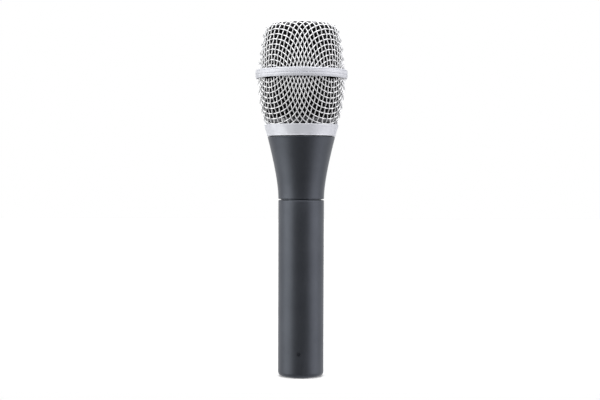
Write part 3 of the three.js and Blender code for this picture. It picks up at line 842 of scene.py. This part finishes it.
def make_boot():
    """The rubber mount. In the microphone its foot stays in the neck and its grip moves with the
    capsule; this piece is attached to neither body.
    """
    radius, bottom, top = span("shock_mount")
    foot_r, bulge_r, grip_r, bore_r = 12.2, 13.2, 11.0, 9.5
    foot_top, bulge_z, grip_z = bottom + 4.2, 129, 130.4
    outline = rounded([
        (foot_r, bottom), (radius, bottom, 0.3), (radius, foot_top, 0.5), (bulge_r, bulge_z, 1.0),
        (grip_r, grip_z, 0.5), (grip_r, top, 0.5), (bore_r, top, 0.2), (bore_r, 127.5, 0.3),
        (grip_r, 128.4, 0.5), (foot_r - 0.2, 123, 0.6)])
    boot = turned("rubber_boot", outline)
    fit_out(boot, None, RUBBER, ["shock_mount"], 60)
    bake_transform(boot)


PAD_SEED = 1


def soft_pad(name, node, body, material, edge, rows, inner=0.0):
    """A pad or sleeve of foam or felt in its CAD node's place, with soft edges and an uneven
    skin. A sleeve has an inner radius."""
    radius, bottom, top = span(node)
    straight = top - bottom - 2 * edge
    walls = [(radius, bottom + edge + straight * row / rows) for row in range(rows + 1)]
    outline = [*arc((radius - edge, bottom + edge), edge, -90, 0, 3), *walls[1:-1],
               *arc((radius - edge, top - edge), edge, 0, 90, 3)]
    if inner:
        outline += [*arc((inner + edge, top - edge), edge, 90, 180, 3),
                    *[(inner, height) for _, height in reversed(walls[1:-1])],
                    *arc((inner + edge, bottom + edge), edge, 180, 270, 3)]
    else:
        rings = 12
        flat = [(radius - edge) * (1 - ring / rings) for ring in range(1, rings + 1)]
        outline += [(r, top) for r in flat] + [(r, bottom) for r in reversed(flat)]
    pad = turned(name, outline, MEDIUM)
    roughen(pad, 0.1, 0.0, PAD_SEED)
    fit_out(pad, body, material, [node], 80)


def make_soft_pads():
    soft_pad("felt_screen", "acoustic_screen", "cartridge", FELT, 0.2, 1)
    soft_pad("felt_plug", "chamber_felt", "cartridge", FELT, 0.8, 6)
    soft_pad("foam_wrap", "transformer_cushion", "handle", FOAM, 0.45, 30, 8.75)


# ---- leads ----

LEAD_R = 0.55
LEAD_NORMAL = Vector((1, 0, 0))  # a lead's rings are turned from this way
BARE = 1.6  # length without insulation at each end
END_RINGS = [(0.0, 0.25), (0.15, 0.42), (0.4, 0.5), (0.8, 0.25), (BARE, 0.22), (BARE, LEAD_R)]
TERMINAL_X = 4.0
TERMINAL_Z = 103.4  # the soldered ends, just under the terminals
CORE_BOTTOM = 44.0  # the transformer's lower end
PIN_BACK = 24.3  # the soldered ends, just above the pins


def smooth_curve(corners, steps=12):
    """A Catmull-Rom curve through its corners, which starts and ends on the first and last."""
    corners = [Vector(corner) for corner in corners]
    padded = [2 * corners[0] - corners[1], *corners, 2 * corners[-1] - corners[-2]]
    places = []
    for at in range(len(corners) - 1):
        a, b, c, d = padded[at:at + 4]
        for step in range(steps):
            t = step / steps
            places.append((2 * b + (c - a) * t + (2 * a - 5 * b + 4 * c - d) * t * t
                           + (3 * b - a - 3 * c + d) * t ** 3) / 2)
    return places + [corners[-1]]


def soldered_end(tip, inwards):
    """The rings of one end of a lead, from its tip towards the place inwards from it."""
    line = (inwards - tip).normalized()
    return [(tip + line * far, LEAD_NORMAL, radius) for far, radius in END_RINGS]


def lead(name, corners, material, node, body="handle"):
    """An insulated wire. At both ends it is bare, and swells into a drop of solder."""
    places = smooth_curve(corners)
    ends = places[0], places[-1]
    covered = [(place, LEAD_NORMAL, LEAD_R) for place in places
               if min((place - end).length for end in ends) > BARE + 0.2]
    path = [*soldered_end(places[0], places[1]), *covered,
            *reversed(soldered_end(places[-1], places[-2]))]
    points, faces = [], []
    add_tube(points, faces, path, 12)
    piece = add_object(name, mesh_from(name, points, faces))
    fit_out(piece, body, material, [node], 50)
    piece.data.materials.append(STEEL)
    for face in piece.data.polygons:
        bared = any((face.center / MM - end).length < BARE - 0.05 for end in ends)
        face.material_index = 1 if bared else 0
    return piece


def make_leads():
    """Two leads that bend between the transformer and the capsule, and three to the pins."""
    for slot, node, side, material in (("red_lead", "lead_hot", 1, RED_LEAD),
                                       ("black_lead", "lead_cold", -1, BLACK_LEAD)):
        route = [(side * TERMINAL_X, 0, TERMINAL_Z), (side * TERMINAL_X, 1.2, 98),
                 (side * 2.6, 2.6, 84), (side * 4.2, 1, 73),
                 (side * 4.8, 4.6, CORE_BOTTOM + 17), (side * 4, 4.6, CORE_BOTTOM + 14)]
        piece = lead(slot, route, material, node, None)
        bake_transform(piece)

    for name, node, pin, start, bulge, material, slot in (
        ("red_pin_lead", "lead_pin_2", 2, (5.2, 4.6, CORE_BOTTOM), (6.2, 4.4, 36),
         RED_LEAD, "red_lead"),
        ("black_pin_lead", "lead_pin_3", 3, (0, -5.4, CORE_BOTTOM), (2, -6, 36),
         BLACK_LEAD, "black_lead"),
        ("ground_lead", "lead_ground", 1, (-6.6, 4.4, CORE_BOTTOM - 0.3), (-6.4, 4, 36),
         BLACK_LEAD, "black_lead"),
    ):
        angle = PIN_ANGLES[pin - 1]
        route = [start, bulge, polar(PIN_CIRCLE, angle, PIN_BACK + 5),
                 polar(PIN_CIRCLE, angle, PIN_BACK)]
        lead(name, route, material, node)


# ---- CAD nodes that stay in view, each with the finish of what it is ----

KEPT = {
    "diaphragm": FILM, "diaphragm_frame": GOLD, "voice_coil": COPPER,
    "top_plate": IRON, "pole_piece": IRON, "magnet": MAGNET, "magnet_yoke": IRON,
    "terminal_board": BOARD, "terminal_1": GOLD, "terminal_2": GOLD,
    "transformer_core": LAMINATIONS, "transformer_bobbin": PLASTIC,
    "transformer_winding": COPPER, "ground_lug": STEEL,
}


def dress_cad_nodes():
    for name, material in KEPT.items():
        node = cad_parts[name]
        node.data.materials.clear()
        node.data.materials.append(material)
        shade(node, 40)


# ---- studio ----

EYE_HEIGHT = 104.0
MIDDLE_HEIGHT = 92.4
CAMERA_DISTANCE = 672.0
ASIDE = -0.62  # how far the camera is to the left of the microphone's axis
LEAN = 0.16  # degrees that the microphone leans to the right in the picture


def aim(thing, target):
    thing.rotation_euler = (Vector(target) * MM - thing.location).to_track_quat("-Z", "Y").to_euler()


def soft_box(name, azimuth, distance, height, width, tall, brightness, colour):
    """A soft box facing the microphone: azimuth 0 is at the camera, 90 on its right."""
    lamp = bpy.data.lights.new(name, "AREA")
    lamp.shape = "RECTANGLE"
    lamp.size, lamp.size_y = width * MM, tall * MM
    lamp.energy = brightness * math.pi * lamp.size * lamp.size_y
    lamp.color = colour
    light = bpy.data.objects.new(name, lamp)
    angle = math.radians(azimuth)
    light.location = Vector((distance * math.sin(angle), -distance * math.cos(angle), height)) * MM
    bpy.context.scene.collection.objects.link(light)
    aim(light, (0, 0, 100))
    light.visible_camera = False
    return light


def make_floor():
    """A white table that starts a little in front of the microphone and runs far behind it."""
    left, right, front, back = -2.5, 2.5, -0.05, 2.5  # in metres
    mesh = bpy.data.meshes.new("studio_floor")
    corners = [(left, front, 0), (right, front, 0), (right, back, 0), (left, back, 0)]
    mesh.from_pydata(corners, [], [(0, 1, 2, 3)])
    floor = add_object("studio_floor", mesh)
    finish = Finish("pale_floor", Roughness=0.9, Specular_IOR_Level=0.1)
    finish.feed("Base Color", finish.blend_colours(finish.noise(40, 2), (0.76, 0.76, 0.76),
                                                   (0.79, 0.79, 0.79)))
    mesh.materials.append(finish.material)
    floor.visible_glossy = False


def make_world():
    """A white studio: dim from the camera's side, bright from behind and from above."""
    world = bpy.data.worlds.new("studio")
    bpy.context.scene.world = world
    world.use_nodes = True
    tree = world.node_tree
    room = tree.nodes["Background"]

    direction = add_node(tree, "TexCoord").outputs["Generated"]
    parts = add_node(tree, "SeparateXYZ", {0: direction})
    around = add_node(tree, "MapRange", {"Value": parts.outputs["Y"], "From Min": -0.9,
                                         "From Max": 1.0, "To Min": 0.12, "To Max": 1.25})
    above = add_node(tree, "MapRange", {"Value": parts.outputs["Z"], "From Min": 0.45,
                                        "From Max": 0.8, "To Min": 0.0, "To Max": 2.4},
                     interpolation_type="SMOOTHSTEP")
    lit = add_node(tree, "Math", {0: around.outputs[0], 1: above.outputs[0]}, operation="MAXIMUM")
    backdrop = add_node(tree, "Background", {"Color": (1, 1, 1, 1), "Strength": 1.0})
    seen = add_node(tree, "LightPath").outputs["Is Camera Ray"]
    mixed = add_node(tree, "MixShader", {0: seen, 1: room.outputs[0], 2: backdrop.outputs[0]})
    tree.links.new(lit.outputs[0], room.inputs["Strength"])
    room.inputs["Color"].default_value = (1, 1, 1, 1)
    tree.links.new(mixed.outputs[0], tree.nodes["World Output"].inputs["Surface"])


def make_studio():
    make_world()
    make_floor()
    side_box = {"distance": 900, "height": 250, "width": 850, "tall": 1200}
    soft_box("left_box", -70, **side_box, brightness=1.5, colour=(1.0, 1.0, 0.96))
    soft_box("right_box", 70, **side_box, brightness=1.08, colour=(1.0, 0.975, 0.99))
    fill = soft_box("front_fill", 0, 1000, 600, 800, 800, 2.6, (0.98, 0.98, 1.0))
    fill.visible_glossy = False
    bpy.context.scene.view_settings.view_transform = "Standard"


def make_camera():
    lens = bpy.data.cameras.new("camera")
    lens.sensor_width = 36.0
    lens.lens = 76.8
    camera = bpy.data.objects.new("camera", lens)
    camera.location = Vector((ASIDE, -CAMERA_DISTANCE, EYE_HEIGHT)) * MM
    bpy.context.scene.collection.objects.link(camera)
    bpy.context.scene.camera = camera
    aim(camera, (ASIDE, 0, MIDDLE_HEIGHT))
    camera.rotation_euler.rotate_axis("Z", math.radians(LEAN))


make_camera()
make_grille()
make_belt()
make_collar()
make_clamp_and_seal()
make_neck()
make_handle()
make_connector()
make_cap()
make_case()
make_chamber()
make_boot()
make_soft_pads()
make_leads()
dress_cad_nodes()
make_studio()
